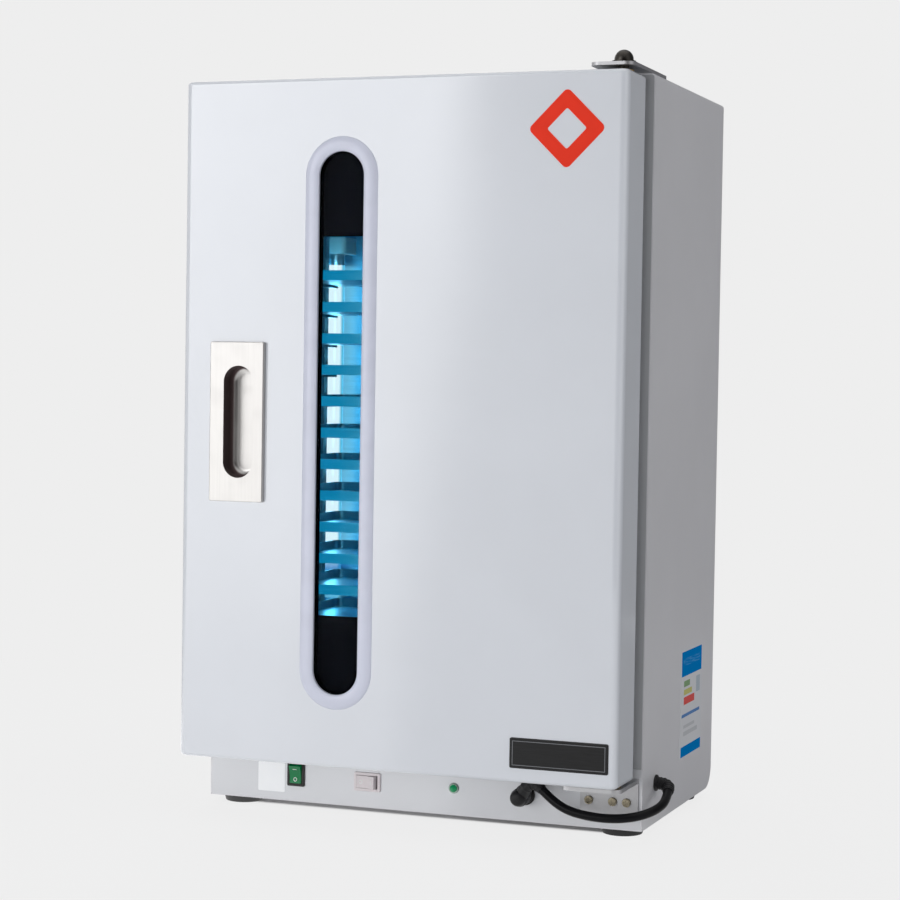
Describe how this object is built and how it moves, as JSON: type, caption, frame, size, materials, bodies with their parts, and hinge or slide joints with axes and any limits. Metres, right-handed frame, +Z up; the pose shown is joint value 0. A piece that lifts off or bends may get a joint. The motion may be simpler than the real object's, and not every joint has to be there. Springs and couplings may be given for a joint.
{
  "type": "uv sterilizer",
  "caption": "Tall countertop ultraviolet sterilizer cabinet with a hinged door, a long round-ended window, a recessed steel pull, stacked inner trays and a short front lead.",
  "frame": {"origin": "on the floor, at the middle of the cabinet's width and of its depth from the pull's face to the rear gland", "axes": "+Z up, -Y towards the user in front of the door, +X towards the hinge side"},
  "size_m": [0.3831, 0.292, 0.5944],
  "materials": {
    "cabinet_paint": "gloss white powder coat",
    "frame_paint": "gloss light grey paint",
    "fascia_paint": "gloss white paint",
    "chamber_steel": "brushed stainless sheet",
    "rack_steel": "bent stainless strip",
    "tray_steel": "pressed stainless sheet",
    "tube_glass": "clear quartz, lit pale blue",
    "cap_metal": "satin end caps",
    "holder_plastic": "white moulded plastic",
    "ballast_paint": "white painted case",
    "wire_sleeve": "red wire insulation",
    "door_paint": "gloss white powder coat",
    "inner_paint": "satin white paint",
    "seal_rubber": "dark grey soft seal",
    "trim_plastic": "pale moulded trim",
    "window_glass": "clear flat glass",
    "well_plastic": "black inner mask",
    "pull_steel": "polished drawn steel",
    "hinge_steel": "nickel plated steel",
    "dark_steel": "dark plated steel",
    "bush_brass": "turned brass",
    "screw_steel": "plated screws",
    "catch_plastic": "black moulded plastic",
    "plunger_plastic": "white moulded plastic",
    "switch_plastic": "black moulded plastic",
    "green_plastic": "lit green rocker",
    "pale_plastic": "pale moulded plastic",
    "bezel_chrome": "polished bezel",
    "led_plastic": "green lens",
    "plug_rubber": "moulded black rubber",
    "lead_rubber": "smooth black sleeve",
    "foot_rubber": "moulded black rubber",
    "gland_nylon": "black nylon",
    "plate_black": "gloss black plate, left blank",
    "printed_film": "printed film without lettering",
    "mark_red": "red printed film"
  },
  "bodies": {
    "cabinet": {"cabinet_shell": "cabinet_paint", "bottom_pan": "cabinet_paint", "back_panel": "cabinet_paint", "front_frame": "frame_paint", "control_fascia": "fascia_paint", "chamber_liner": "chamber_steel", "rack_left": "rack_steel", "rack_right": "rack_steel", "uv_tubes": "tube_glass", "tube_caps": "cap_metal", "tube_holders": "holder_plastic", "ballast": "ballast_paint", "terminal_block": "holder_plastic", "wire_harness": "wire_sleeve", "magnet_catch": "catch_plastic", "interlock_switch": "catch_plastic", "hinge_plate_top": "hinge_steel", "hinge_pin_top": "dark_steel", "hinge_bracket_bottom": "hinge_steel", "hinge_pin_bottom": "hinge_steel", "hinge_screws": "screw_steel", "power_switch_housing": "switch_plastic", "lamp_switch_housing": "pale_plastic", "led_bezel": "bezel_chrome", "led_lens": "led_plastic", "panel_socket": "switch_plastic", "lead_plug": "plug_rubber", "lead_cord": "lead_rubber", "lead_grip": "plug_rubber", "feet": "foot_rubber", "panel_screws": "screw_steel", "mains_gland": "gland_nylon", "stickers": "printed_film", "tray_01": "tray_steel", "tray_02": "tray_steel", "tray_03": "tray_steel", "tray_04": "tray_steel", "tray_05": "tray_steel", "tray_06": "tray_steel", "tray_07": "tray_steel", "tray_08": "tray_steel", "tray_09": "tray_steel", "tray_10": "tray_steel", "tray_11": "tray_steel", "tray_12": "tray_steel"},
    "door": {"door_shell": "door_paint", "door_liner": "inner_paint", "door_seal": "seal_rubber", "window_trim": "trim_plastic", "window_glass": "window_glass", "window_well": "well_plastic", "door_pull": "pull_steel", "strike_plate": "hinge_steel", "hinge_bushes": "bush_brass", "name_plate": "plate_black", "door_mark": "mark_red"},
    "power_rocker": {"power_rocker": "green_plastic"},
    "lamp_rocker": {"lamp_rocker": "pale_plastic"},
    "interlock_plunger": {"interlock_plunger": "plunger_plastic"}
  },
  "joints": [
    {"name": "door_swing", "type": "hinge", "parent": "cabinet", "child": "door", "pos_m": [0.1695, -0.1195, 0.3], "axis": [0, 0, 1], "range_deg": [0, 120]},
    {"name": "power_press", "type": "hinge", "parent": "cabinet", "child": "power_rocker", "pos_m": [-0.106, -0.0776, 0.029], "axis": [-1, 0, 0], "range_deg": [0, 20]},
    {"name": "lamp_press", "type": "hinge", "parent": "cabinet", "child": "lamp_rocker", "pos_m": [-0.0438, -0.0776, 0.0268], "axis": [0, 0, 1], "range_deg": [0, 20]},
    {"name": "interlock_slide", "type": "slide", "parent": "cabinet", "child": "interlock_plunger", "axis": [0, -1, 0], "range_m": [0, 0.004]}
  ],
  "couplings": [
    {"joint": "interlock_slide", "follows": "door_swing", "m_per_rad": 0.0019}
  ]
}
